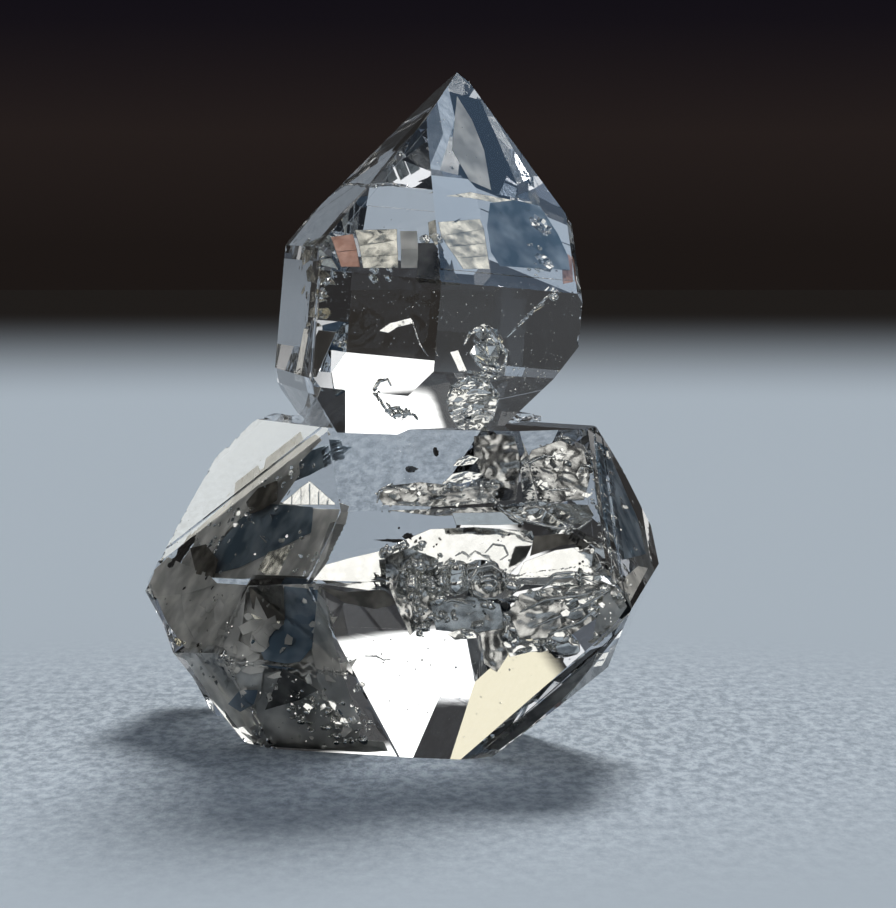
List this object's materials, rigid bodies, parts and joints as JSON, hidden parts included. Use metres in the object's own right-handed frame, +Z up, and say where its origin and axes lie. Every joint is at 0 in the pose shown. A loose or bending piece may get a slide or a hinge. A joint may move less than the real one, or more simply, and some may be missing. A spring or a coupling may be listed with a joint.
{
  "type": "herkimer diamond crystal cluster",
  "caption": "Clear doubly terminated quartz crystal grown upright on the blunt top of a larger reclining one, with faceted points, chips and growth steps, for standing on a flat surface.",
  "frame": {"origin": "on the resting plane, under the centre of the cluster's bounding box", "axes": "+Z up through the upper crystal, -Y towards the front with the large crystal's wide faces, +X to the right seen from the front"},
  "size_m": [0.0182, 0.0202, 0.0233],
  "materials": {
    "quartz": "clear colourless quartz with bright flat faces",
    "veil": "silvery white healed fractures and fluid films inside the quartz",
    "carbon": "black flakes of carbon inside the quartz"
  },
  "bodies": {
    "root": {"crystal_cluster": "quartz"}
  },
  "joints": []
}
